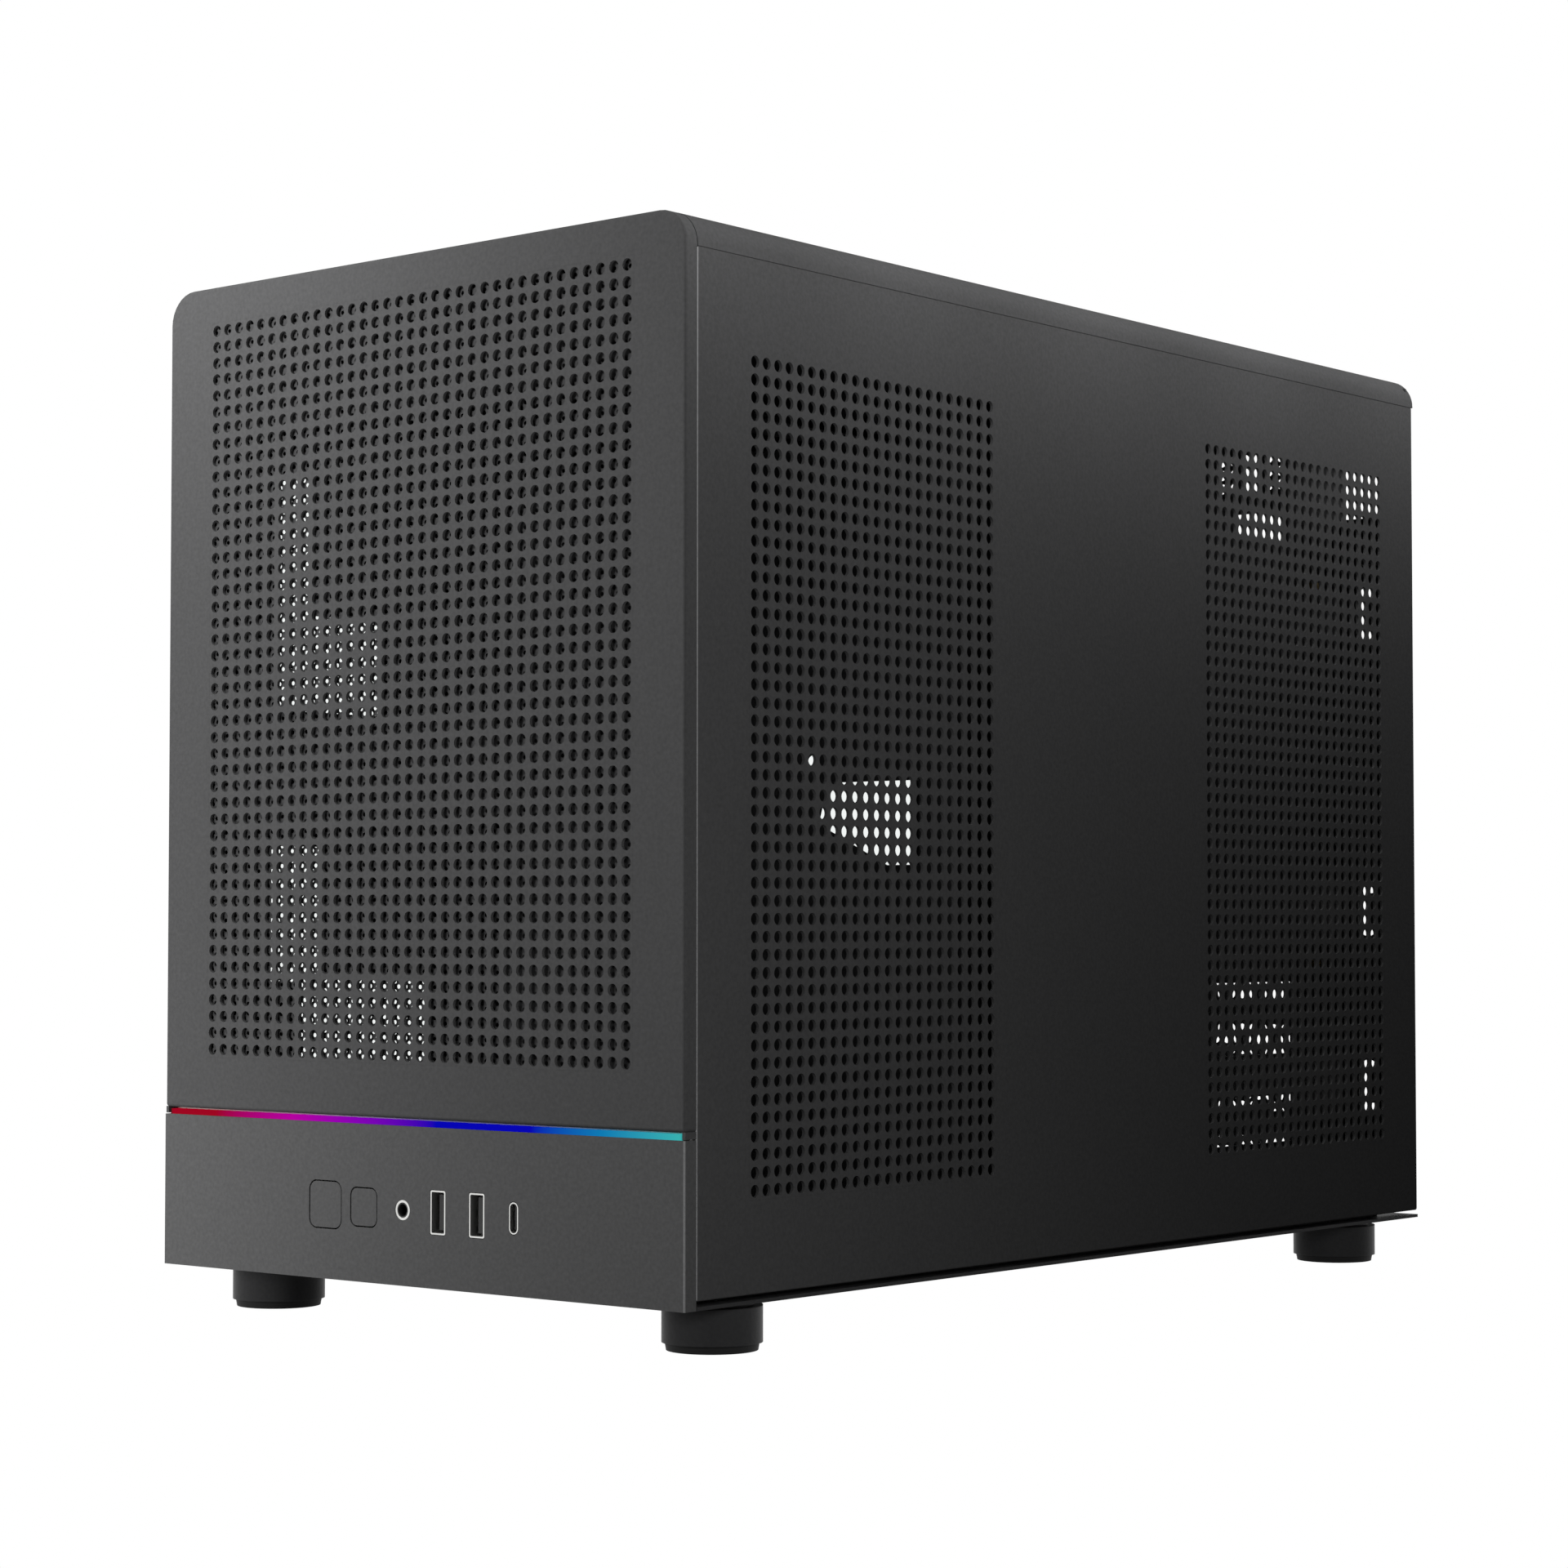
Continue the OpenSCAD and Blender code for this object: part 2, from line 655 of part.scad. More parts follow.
module io_spacers() {
    color([0.7, 0.7, 0.68]) for (x = [-47.5, 53.5], z = [row - 8, row + 8])
        translate([x, wall_y + sheet, z]) rotate([-90, 0, 0]) difference() {
            cylinder(d = 6, h = board_face - wall_y - sheet);
            translate([0, 0, -1]) cylinder(d = screw_d + 2 * screw_gap, h = 12);
        }
}

module io_screws() {
    color([0.5, 0.5, 0.52]) for (x = [-47.5, 53.5], z = [row - 8, row + 8])
        screw_y(x, board_face + 1.6, z, 9.4, -1);
}

module usb_shell(x) {
    translate([x, 0, row]) sheet_y(yf + 0.1, board_face - yf - 0.1) difference() {
        rrect(usb_w, usb_h, 0.6);
        rrect(usb_w - 0.9, usb_h - 0.9, 0.4);
    }
}

module usb_tongue(x) {
    translate([x, 0, row]) {
        box(-0.6, 1.3, yf + 1.4, board_face, -usb_h / 2 + 1.2, usb_h / 2 - 1.2);
        box(-usb_w / 2 + 0.5, usb_w / 2 - 0.5, board_face - 2, board_face - 0.2,
            -usb_h / 2 + 0.55, usb_h / 2 - 0.55);
    }
}

module usb_a_shell_1() {
    color([0.85, 0.85, 0.84]) usb_shell(x_usb1);
}

module usb_a_shell_2() {
    color([0.85, 0.85, 0.84]) usb_shell(x_usb2);
}

module usb_a_tongue_1() {
    color([0.05, 0.05, 0.05]) usb_tongue(x_usb1);
}

module usb_a_tongue_2() {
    color([0.05, 0.05, 0.05]) usb_tongue(x_usb2);
}

module usb_c_shell() {
    color([0.8, 0.8, 0.8]) translate([x_usbc, 0, row])
        sheet_y(yf + 0.1, board_face - yf - 0.1) difference() {
            rrect(usbc_w, usbc_h, usbc_w / 2 - 0.05);
            rrect(usbc_w - 0.7, usbc_h - 0.7, usbc_w / 2 - 0.4);
        }
}

module usb_c_tongue() {
    color([0.05, 0.05, 0.05]) translate([x_usbc, 0, row]) {
        box(-0.35, 0.35, yf + 1.1, board_face, -usbc_h / 2 + 1.2, usbc_h / 2 - 1.2);
        box(-1.2, 1.2, board_face - 2, board_face - 0.2, -usbc_h / 2 + 1.5, usbc_h / 2 - 1.5);
    }
}

module audio_jack() {
    color([0.08, 0.08, 0.08]) translate([x_jack, yf + 0.1, row]) difference() {
        union() {
            rotate([-90, 0, 0]) cylinder(d = jack_d - 2 * jack_ring - 0.2, h = 3);
            translate([-3.4, 2.5, -3.4]) cube([6.8, board_face - yf - 2.6, 6.8]);
        }
        translate([0, -1, 0]) rotate([-90, 0, 0]) cylinder(d = jack_bore, h = 13);
    }
}

module audio_ring() {
    color([0.85, 0.85, 0.84]) translate([x_jack, yf + 0.1, row]) rotate([-90, 0, 0]) difference() {
        cylinder(d = jack_d, h = 2.5);
        translate([0, 0, -1]) cylinder(d = jack_d - 2 * jack_ring, h = 5);
    }
}

// Sides

module stud_pair(y, zs, x, s) {
    for (z = zs) translate([x, y, z]) rotate([0, -90 * s, 0]) {
        cylinder(d = 7, h = 1);
        cylinder(d = 3.4, h = 10);
        translate([0, 0, 10.5]) sphere(d = ball_d);
    }
}

module side_panel_right() {
    color([0.27, 0.27, 0.28]) {
        sheet_x(side_x - sheet) difference() {
            rect(y_open, side_y1, side_z0, side_z1);
            for (y = [y_open + side_group_y, side_y1 - side_group_y])
                translate([y, (side_z0 + side_z1) / 2])
                    hole_grid(side_group_w, side_z1 - side_z0 - 2 * side_margin,
                              side_pitch, side_hole_d);
        }
        sheet_x(side_x - sheet - side_fold, side_fold + sheet) difference() {
            rect(y_open, side_y1, side_z0, side_z1);
            rect(y_open + sheet, side_y1 - sheet, side_z0 + sheet, side_z1 - sheet);
        }
    }
}

module side_panel_studs() {
    color([0.6, 0.6, 0.62]) {
        stud_pair(stud_yf, stud_z, side_x - sheet, 1);
        stud_pair(stud_yr, stud_zr, side_x - sheet, 1);
    }
}

module glass_pane() {
    color([0.7, 0.8, 0.85, 0.4])
        sheet_x(-side_x, glass_t) rect(y_open, side_y1, side_z0, side_z1);
}

module glass_rail(y0) {
    color([0.1, 0.1, 0.1]) sheet_x(-side_x + glass_t, 1.2) difference() {
        rect(y0, y0 + 14, side_z0 + 3, side_z1 - 3);
    }
}

module glass_rail_front() {
    glass_rail(stud_yf - 7);
}

module glass_rail_rear() {
    glass_rail(side_y1 - 15);
}

module glass_studs() {
    x = -side_x + glass_t + 1.2;
    color([0.6, 0.6, 0.62]) {
        glass_stud(x, stud_yf, stud_z[0]);
        glass_stud(x, stud_yf, stud_z[1]);
        glass_stud(x, stud_yr, stud_z[0] + 90);
        glass_stud(x, stud_yr, stud_z[1]);
    }
}

module glass_stud(x, y, z) {
    translate([x, y, z]) rotate([0, 90, 0]) {
        cylinder(d = 3.4, h = 5.2);
        translate([0, 0, 5.5]) sphere(d = ball_d);
    }
}

module clip(s, y, z) {
    translate([s * (frame_x - sheet), y, z]) rotate([0, -90 * s, 0]) difference() {
        translate([-5, -5, 0]) cube([10, 10, 6.5]);
        translate([0, 0, -1]) cylinder(d = ball_d + 2 * ball_gap, h = 9);
    }
}

module panel_clips() {
    color([0.1, 0.1, 0.1]) {
        for (z = stud_z) clip(1, stud_yf, z);
        for (z = stud_zr) clip(1, stud_yr, z);
        for (z = stud_z) clip(-1, stud_yf, z);
        for (z = [stud_z[0] + 90, stud_z[1]]) clip(-1, stud_yr, z);
    }
}

// Rear

module slot_cover(k) {
    x1 = slot_x1 + 3;
    x0 = slot_x1 - slot_len - 10 - cover_gap;
    z = slot_z - k * slot_pitch;
    color([0.25, 0.25, 0.26]) {
        sheet_y(rec_y - sheet - cover_gap - 0.9, 0.9) difference() {
            rect(x0 - 0.9, x1, z - slot_cover_h / 2, z + slot_cover_h / 2);
            translate([slot_x1 - slot_len / 2, z]) slot_vents_2d();
        }
        difference() {
            box(x0 - 0.9, x0, rec_y - sheet - cover_gap - 0.9, rec_y + 11.3,
                z - slot_cover_h / 2, z + slot_cover_h / 2);
            translate([x0 - 3, rec_y + 6, z]) rotate([0, 90, 0])
                cylinder(d = screw_d + 2 * screw_gap, h = 6);
        }
    }
}

module slot_vents_2d() {
    n = floor((slot_len - 12) / cover_pitch / 2);
    step = cover_pitch * sin(60);
    for (j = [-1 : 1], i = [-n : n])
        translate([(i + abs(j) / 2) * cover_pitch, j * step]) circle(d = cover_hole_d, $fn = 20);
}

module slot_cover_1() {
    slot_cover(0);
}

module slot_cover_2() {
    slot_cover(1);
}

module slot_cover_3() {
    slot_cover(2);
}

module slot_cover_4() {
    slot_cover(3);
}

module slot_screws() {
    x0 = slot_x1 - slot_len - 10 - cover_gap - 0.9;
    color([0.5, 0.5, 0.52]) for (k = [0 : 3])
        translate([x0, rec_y + 6, slot_z - k * slot_pitch]) rotate([0, 90, 0]) {
            translate([0, 0, -head_h]) cylinder(d = head_d + 1, h = head_h);
            translate([0, 0, -head_h]) cylinder(d = screw_d, h = head_h + 5);
        }
}

module psu_bracket_screws() {
    color([0.5, 0.5, 0.52]) for (x = [-bracket_x, 0, bracket_x])
        screw_y(x, bulk_y - cover_t, bracket_screw_z, 5);
}

// Feet

module foot(sx, y) {
    zw = z0 - foot_neck;
    color([0.13, 0.13, 0.135]) translate([sx * foot_x, y, 0]) difference() {
        union() {
            translate([0, 0, pad_t]) cylinder(d = foot_d, h = zw - pad_t, $fn = 64);
            cylinder(d = foot_d - 5, h = z0, $fn = 64);
        }
        translate([0, 0, -1]) cylinder(d = foot_d - 12, h = z0 - 2, $fn = 48);
        cylinder(d = screw_d + 2 * screw_gap, h = z0 + 1);
        translate([0, 0, -1]) cylinder(d = foot_d, h = 1 + pad_t, $fn = 64);
    }
}

module foot_pad(sx, y) {
    color([0.06, 0.06, 0.06]) translate([sx * foot_x, y, 0])
        cylinder(d1 = pad_d - 0.8, d2 = pad_d, h = pad_t, $fn = 64);
}

module foot_front_left() {
    foot(-1, foot_yf);
}

module foot_front_right() {
    foot(1, foot_yf);
}

module foot_rear_left() {
    foot(-1, foot_yr);
}

module foot_rear_right() {
    foot(1, foot_yr);
}

module foot_pad_front_left() {
    foot_pad(-1, foot_yf);
}

module foot_pad_front_right() {
    foot_pad(1, foot_yf);
}

module foot_pad_rear_left() {
    foot_pad(-1, foot_yr);
}

module foot_pad_rear_right() {
    foot_pad(1, foot_yr);
}

module foot_screws() {
    color([0.5, 0.5, 0.52]) for (x = [-foot_x, foot_x], y = [foot_yf, foot_yr])
        translate([x, y, z0 - 3 - head_h]) {
            cylinder(d = head_d + 1, h = head_h);
            cylinder(d = screw_d, h = head_h + 6);
        }
}

base_plate();
front_wall();
rear_panel();
psu_bulkhead();
psu_shroud();
psu_bracket();
motherboard_tray();
top_frame();
top_cover();
front_mesh_panel();
dust_filter();
front_pegs();
front_clips();
front_fascia();
fascia_screws();
light_diffuser();
light_strip_board();
power_button();
reset_button();
power_switch();
reset_switch();
io_board();
io_spacers();
io_screws();
usb_a_shell_1();
usb_a_tongue_1();
usb_a_shell_2();
usb_a_tongue_2();
usb_c_shell();
usb_c_tongue();
audio_jack();
audio_ring();
side_panel_right();
side_panel_studs();
glass_pane();
glass_rail_front();
glass_rail_rear();
glass_studs();
panel_clips();
slot_cover_1();
slot_cover_2();
slot_cover_3();
slot_cover_4();
slot_screws();
standoffs();
psu_bracket_screws();
cover_screws();
foot_front_left();
foot_front_right();
foot_rear_left();
foot_rear_right();
foot_pad_front_left();
foot_pad_front_right();
foot_pad_rear_left();
foot_pad_rear_right();
foot_screws();
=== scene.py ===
# %% [markdown]
# # A compact computer case in Blender
#
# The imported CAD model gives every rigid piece. This script adds the looks: the full fine
# perforation of the front and right side, the dust filter behind the front, the materials,
# the coloured light bar, the lights and the camera.
#
# It starts by loading the frame, which places all CAD nodes at rest. Blender works in metres
# and the sizes below are in millimetres, times MM. Both use the CAD axes: +X right, +Y to the
# rear, +Z up.

import json
import math

import bpy
import numpy as np
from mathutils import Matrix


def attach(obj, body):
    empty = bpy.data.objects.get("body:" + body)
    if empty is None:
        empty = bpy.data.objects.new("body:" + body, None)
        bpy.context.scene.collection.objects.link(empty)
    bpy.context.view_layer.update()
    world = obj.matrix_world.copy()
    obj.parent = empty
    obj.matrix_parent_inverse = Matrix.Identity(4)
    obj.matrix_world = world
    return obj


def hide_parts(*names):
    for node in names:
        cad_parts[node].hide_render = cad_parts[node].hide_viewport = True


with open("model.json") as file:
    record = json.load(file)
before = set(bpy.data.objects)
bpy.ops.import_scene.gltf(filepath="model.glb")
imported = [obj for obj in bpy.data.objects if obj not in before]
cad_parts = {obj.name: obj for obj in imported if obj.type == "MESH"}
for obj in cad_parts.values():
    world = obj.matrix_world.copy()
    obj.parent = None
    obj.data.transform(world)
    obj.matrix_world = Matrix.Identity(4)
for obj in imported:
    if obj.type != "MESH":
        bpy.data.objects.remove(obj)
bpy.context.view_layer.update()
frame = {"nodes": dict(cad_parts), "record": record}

MM = 0.001
nodes = frame["nodes"]

# %% [markdown]
# ## Meshes from arrays
#
# A perforated sheet has over a thousand equal holes, so one cell is worked out once and
# repeated by adding each cell's centre to the template. Faces stay in arrays all the way to
# the mesh.


# %% From arrays to a mesh object
def make_mesh(name, chunks):
    """Join chunks (points (n, 3), faces (m, k), smooth) into one object at the origin."""
    points = np.concatenate([c[0] for c in chunks]).astype(np.float32)
    first = np.cumsum([0] + [len(c[0]) for c in chunks[:-1]])
    totals = np.concatenate([np.full(len(c[1]), c[1].shape[1]) for c in chunks])
    corner = np.concatenate([(c[1] + o).ravel() for c, o in zip(chunks, first)])
    smooth = np.concatenate([np.full(len(c[1]), c[2]) for c in chunks])
    mesh = bpy.data.meshes.new(name)
    mesh.vertices.add(len(points))
    mesh.vertices.foreach_set("co", points.ravel())
    mesh.loops.add(len(corner))
    mesh.loops.foreach_set("vertex_index", corner.astype(np.int32))
    mesh.polygons.add(len(totals))
    starts = np.concatenate([[0], np.cumsum(totals)[:-1]])
    mesh.polygons.foreach_set("loop_start", starts.astype(np.int32))
    mesh.polygons.foreach_set("loop_total", totals.astype(np.int32))
    mesh.polygons.foreach_set("use_smooth", smooth.astype(bool))
    mesh.update(calc_edges=True)
    mesh.validate()
    obj = bpy.data.objects.new(name, mesh)
    bpy.context.scene.collection.objects.link(obj)
    print(name, "has", len(points), "points and", len(totals), "faces")
    return obj


# %% [markdown]
# ## One cell of a perforated sheet
#
# The cell is a square of side p with a round hole of diameter d. The hole's n points lie at
# angles 45° + 360° i / n, so the corners of the square line up with every quarter of them.
# Between two corners A and B lie the circle points c0 ... ck; the flat part is a fan from A up
# to the middle point, the triangle A-middle-B and a fan from B.
#
# Holes could also be cut out of a plate one by one, but that is slow for thousands of them and
# leaves long thin faces. Equal cells side by side give even faces at once.


# %% Perforated field
HOLE_SIDES = 16


def cell(p, d, n):
    """Return (circle (n, 2), corners (4, 2), flat triangles) of a cell of side p."""
    a = math.radians(45) + 2 * math.pi * np.arange(n) / n
    circle = d / 2 * np.c_[np.cos(a), np.sin(a)]
    corners = p / 2 * np.array([[1, 1], [-1, 1], [-1, -1], [1, -1]])
    tris = []
    q = n // 4
    for k in range(4):
        c = [(k * q + i) % n for i in range(q + 1)]
        one, two = n + k, n + (k + 1) % 4
        tris += [(one, c[i + 1], c[i]) for i in range(q // 2)]
        tris += [(one, two, c[q // 2])]
        tris += [(two, c[i + 1], c[i]) for i in range(q // 2, q)]
    return circle, corners, np.array(tris)


def perforated(centres, p, d, t):
    """Chunks (front, back, walls) of a sheet from depth 0 to t in (u, v, depth)."""
    n = HOLE_SIDES
    circle, corners, tris = cell(p, d, n)
    flat = np.r_[circle, corners]
    m = len(centres)
    shift = (np.arange(m) * len(flat))[:, None, None]
    uv = (centres[:, None, :] + flat[None]).reshape(-1, 2)
    front = (np.c_[uv, np.zeros(len(uv))], (tris[None] + shift).reshape(-1, 3), False)
    back = (np.c_[uv, np.full(len(uv), t)], (tris[None, :, ::-1] + shift).reshape(-1, 3), False)
    ring = (centres[:, None, :] + circle[None]).reshape(-1, 2)
    wall = np.r_[np.c_[ring, np.zeros(len(ring))], np.c_[ring, np.full(len(ring), t)]]
    i = np.arange(n)
    j = (i + 1) % n
    quad = np.c_[i, j, j + m * n, i + m * n]
    quads = (quad[None] + (np.arange(m) * n)[:, None, None]).reshape(-1, 4)
    return [front, back, (wall, quads, True)]


def grid(cols, rows, p, mid_u, mid_v):
    """Centres (cols * rows, 2) of a square grid of pitch p around (mid_u, mid_v)."""
    u = (np.arange(cols) - (cols - 1) / 2) * p + mid_u
    v = (np.arange(rows) - (rows - 1) / 2) * p + mid_v
    return np.stack(np.meshgrid(u, v), -1).reshape(-1, 2)


# %% [markdown]
# ## Folded edges
#
# A cover's edge is a profile of (inset, depth) steps swept around its outline. With inset s
# the outline's straight sides move in by s and each corner radius r becomes max(r - s, 0),
# so every ring has the same number of points and neighbouring rings join with quads. A bevel
# modifier would round these edges too, but it would also round every hole.


# %% Outlines and folds
def outline(u0, u1, v0, v1, radii, s, steps=8, top=None):
    """Points of a rectangle with corner radii (bottom right, top right, top left, bottom left).

    All sides move in by s, the top one by its own inset where that is given. Each corner is a
    quarter circle of radius max(r - s, 0) around a point that far in from both its sides.
    """
    u0, u1, v0, v1 = u0 + s, u1 - s, v0 + s, v1 - (s if top is None else top)
    out = []
    for k, (cu, cv) in enumerate([(u1, v0), (u1, v1), (u0, v1), (u0, v0)]):
        r = max(radii[k] - s, 0)
        a = math.radians(-90 + 90 * k) + np.linspace(0, math.pi / 2, steps + 1)
        mu = cu - r if cu == u1 else cu + r
        mv = cv - r if cv == v1 else cv + r
        out.append(np.c_[mu + r * np.cos(a), mv + r * np.sin(a)])
    return np.concatenate(out)


def fold(shape, profile, steps=8):
    """Sweep profile [(inset, depth, top inset), ...] around (u0, u1, v0, v1, radii)."""
    rings = []
    for s, w, top in profile:
        ring = outline(*shape, s, steps, top)
        rings.append(np.c_[ring, np.full(len(ring), w)])
    n = len(rings[0])
    i = np.arange(n)
    j = (i + 1) % n
    quads = [np.c_[i, i + n, j + n, j] + k * n for k in range(len(rings) - 1)]
    return np.concatenate(rings), np.concatenate(quads)


def sharp_fold(shape, profile, runs):
    """One chunk per run (first, last, smooth), so flats and rounds keep their own shading."""
    return [(*fold(shape, profile[a : b + 1]), smooth) for a, b, smooth in runs]


# %% [markdown]
# ## The plain border
#
# On the real panels a plain strip of steel runs around and between the groups of holes. Four
# or five flat faces fill it: one above, one below, and upright strips at the sides and between
# the groups. They reach LAP mm into the outermost cells, so no light shows at the joint.


# %% Flat borders
LAP = 0.02


def polygon(points, depth, flip=False):
    """One flat face through the given (u, v) points."""
    pts = np.c_[np.asarray(points, float), np.full(len(points), depth)]
    order = np.arange(len(points))
    return pts, (order[::-1] if flip else order)[None], False


def frame_faces(shape, s, depth, fields, flip, top=None):
    """The flat border around side by side hole fields (u0, u1, v0, v1), at one depth."""
    fields = sorted((f[0] + LAP, f[1] - LAP, f[2] + LAP, f[3] - LAP) for f in fields)
    v0, v1 = fields[0][2:]
    ring = outline(*shape, s, top=top)
    lo, hi = ring[:, 0].min(), ring[:, 0].max()
    above = ring[ring[:, 1] > v1]
    below = ring[ring[:, 1] < v0]
    turn = np.arctan2(below[:, 1] - v0, below[:, 0] - (lo + hi) / 2)
    below = below[np.argsort(turn)]
    faces = [
        polygon(np.r_[[[lo, v1], [hi, v1]], above], depth, flip),
        polygon(np.r_[[[hi, v0], [lo, v0]], below], depth, flip),
    ]
    edges = [lo] + [x for f in fields for x in f[:2]] + [hi]
    for a, b in zip(edges[::2], edges[1::2]):
        faces.append(polygon([(a, v0), (b, v0), (b, v1), (a, v1)], depth, flip))
    return faces


def place(chunks, matrix, origin):
    """Turn (u, v, depth) into x, y, z with the rows of matrix, then to metres."""
    m = np.array(matrix, float)
    return [((c[0] @ m + origin) * MM, c[1], c[2]) for c in chunks]


# %% [markdown]
# ## Covers of folded sheet
#
# Both covers are thin steel sheets with 3.5 mm holes on a 5 mm pitch and edges folded back.
# They stand in for CAD nodes that carry a coarser grid with the same open share, because so
# many holes in an exact solid take minutes to build. One function makes both.


# %% A perforated cover
PITCH, HOLE, SHEET = 5.0, 3.5, 1.0
ROUND_STEPS = 6


def cover(name, shape, groups, deep, edge, top, matrix, origin, extra=()):
    """A perforated sheet with folds deep mm deep. groups = [(cols, rows, mid_u, mid_v)].

    The face meets the folds in a quarter round of radius edge: at angle x the inset is
    edge (1 - sin x) and the depth edge (1 - cos x). On the top side the round is as deep,
    but its inset is only the share top of that. extra holds chunks that join the sheet.
    """
    chunks = []
    fields = []
    for cols, rows, mu, mv in groups:
        chunks += perforated(grid(cols, rows, PITCH, mu, mv), PITCH, HOLE, SHEET)
        hu, hv = cols * PITCH / 2, rows * PITCH / 2
        fields.append((mu - hu, mu + hu, mv - hv, mv + hv))
    arc = []
    for x in np.linspace(0, math.pi / 2, ROUND_STEPS):
        inset = edge * (1 - math.sin(x))
        arc.append((inset, edge * (1 - math.cos(x)), inset * top))
    profile = arc + [(0, deep, 0), (SHEET, deep, SHEET), (SHEET, SHEET, SHEET)]
    n = len(arc)
    runs = [(0, n - 1, True), (n - 1, n, False), (n, n + 1, False), (n + 1, n + 2, False)]
    chunks += sharp_fold(shape, profile, runs)
    chunks += frame_faces(shape, edge, 0, fields, True, edge * top)
    chunks += frame_faces(shape, SHEET, SHEET, fields, False)
    return make_mesh(name, place(chunks + list(extra), matrix, origin))


# %% [markdown]
# ## The front
#
# The front cover has 35 by 45 holes, large round corners at the top and small ones at the
# bottom. Two small lugs under its side folds close the ends of the light bar's slot.


# %% Front panel with its full perforation
HALF_W, FRONT_Y, TOP_Z = 106.5, -198.0, 314.0
FRONT_LOW, FRONT_DEEP, FRONT_EDGE = 62.2, 4.8, 0.9
FRONT_HOLES_Z = 190.3
LUG_X, LUG_HALF = 105.95, 0.55
LUG_LOW, LUG_HIGH, LUG_IN = 60.3, 62.3, 0.3


def block(u0, u1, v0, v1, w0, w1):
    """The six sides of a box from (u0, v0, w0) to (u1, v1, w1)."""
    pts = np.array([(u, v, w) for w in (w0, w1) for v in (v0, v1) for u in (u0, u1)], float)
    sides = [(0, 1, 3, 2), (4, 6, 7, 5), (0, 4, 5, 1), (2, 3, 7, 6), (0, 2, 6, 4), (1, 5, 7, 3)]
    return pts, np.array(sides), False


lugs = [
    block(s - LUG_HALF, s + LUG_HALF, LUG_LOW, LUG_HIGH, LUG_IN, FRONT_DEEP)
    for s in (-LUG_X, LUG_X)
]
FRONT = np.array([[1, 0, 0], [0, 0, 1], [0, 1, 0]])
FRONT_AT = (0, FRONT_Y, 0)
front = cover(
    "front_mesh_full",
    (-HALF_W, HALF_W, FRONT_LOW, TOP_Z, (1.0, 10.0, 10.0, 1.0)),
    [(35, 45, 0, FRONT_HOLES_Z)],
    FRONT_DEEP, FRONT_EDGE, 1, FRONT, FRONT_AT, lugs,
)
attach(front, "front_panel")
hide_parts("front_mesh_panel")

# %% [markdown]
# ## The right side
#
# The side panel fills the opening below the top. Its two groups of 23 by 47 holes lie at the
# same distance from the panel's middle, and its edges are nearly sharp.

# %% Right side panel with its full perforation
SIDE_X, SIDE_Y0, SIDE_Y1, SIDE_LOW, SIDE_HIGH = 106.3, -192.9, 197.6, 16.5, 303.66
SIDE_DEEP, SIDE_EDGE, SIDE_CORNER = 6.7, 0.4, 0.8
SIDE_MID, GROUP_OFF, SIDE_HOLES_Z = 2.35, 115.75, 159.8
SIDE = np.array([[0, 1, 0], [0, 0, 1], [-1, 0, 0]])
side = cover(
    "side_panel_full",
    (SIDE_Y0, SIDE_Y1, SIDE_LOW, SIDE_HIGH, (SIDE_CORNER,) * 4),
    [(23, 47, SIDE_MID + s * GROUP_OFF, SIDE_HOLES_Z) for s in (-1, 1)],
    SIDE_DEEP, SIDE_EDGE, 0, SIDE, (SIDE_X, 0, 0),
)
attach(side, "side_panel_right")
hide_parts("side_panel_right")

# %% [markdown]
# ## Dust filter
#
# Behind the front lies a thin filter sheet with its own finer holes, which show as small dots
# and crescents in the panel's holes. Its holes stand in a square grid of pitch p with one more
# in the middle of each square. An image of dots would be quicker, but real holes let the light
# from the room behind through, so the sheet is a mesh of one thickness in a solid rim.


# %% Filter weave
FILTER_PITCH, FILTER_HOLE, FILTER_SIDES = 2.96, 1.3, 8
FILTER_MID, FILTER_DEPTH = (-0.63, 190.52), 1.15
FILTER_FIELD = (-88.6, 88.6, 75.6, 305)
FILTER_RIM, RIM_WIDTH, RIM_FRONT, RIM_BACK = (-91, 91, 73.3, 307.3), 3, 1.2, 2.0
REACH = 120


def weave(x0, x1, z0, z1, mid, p, d, depth):
    """A thin sheet with holes of diameter d at mid + p / 2 (i + j, i - j), at one depth.

    Each hole sits in a square on its corner, whose four corners are p / 2 away from it, and
    only the squares whose centre lies between x0, x1 and z0, z1 are kept.
    """
    span = np.arange(-REACH, REACH + 1)
    i, j = np.meshgrid(span, span)
    centres = np.c_[mid[0] + p / 2 * (i + j).ravel(), mid[1] + p / 2 * (i - j).ravel()]
    inside = (centres[:, 0] > x0) & (centres[:, 0] < x1)
    inside &= (centres[:, 1] > z0) & (centres[:, 1] < z1)
    centres = centres[inside]
    circle, corners, tris = cell(p / math.sqrt(2), d, FILTER_SIDES)
    turn = np.array([[1, 1], [-1, 1]]) / math.sqrt(2)
    flat = np.r_[circle, corners] @ turn
    pts = (centres[:, None] + flat[None]).reshape(-1, 2)
    shift = (np.arange(len(centres)) * len(flat))[:, None, None]
    return np.c_[pts, np.full(len(pts), depth)], (tris[None] + shift).reshape(-1, 3), False


def rail(x0, x1, z0, z1, w, y0, y1):
    """The filter's rim: a rectangular ring of width w between two depths."""
    prof = [(0, y0, 0), (0, y1, 0), (w, y1, w), (w, y0, w), (0, y0, 0)]
    pts, quads = fold((x0, x1, z0, z1, (2, 2, 2, 2)), prof, 4)
    return pts, quads, False


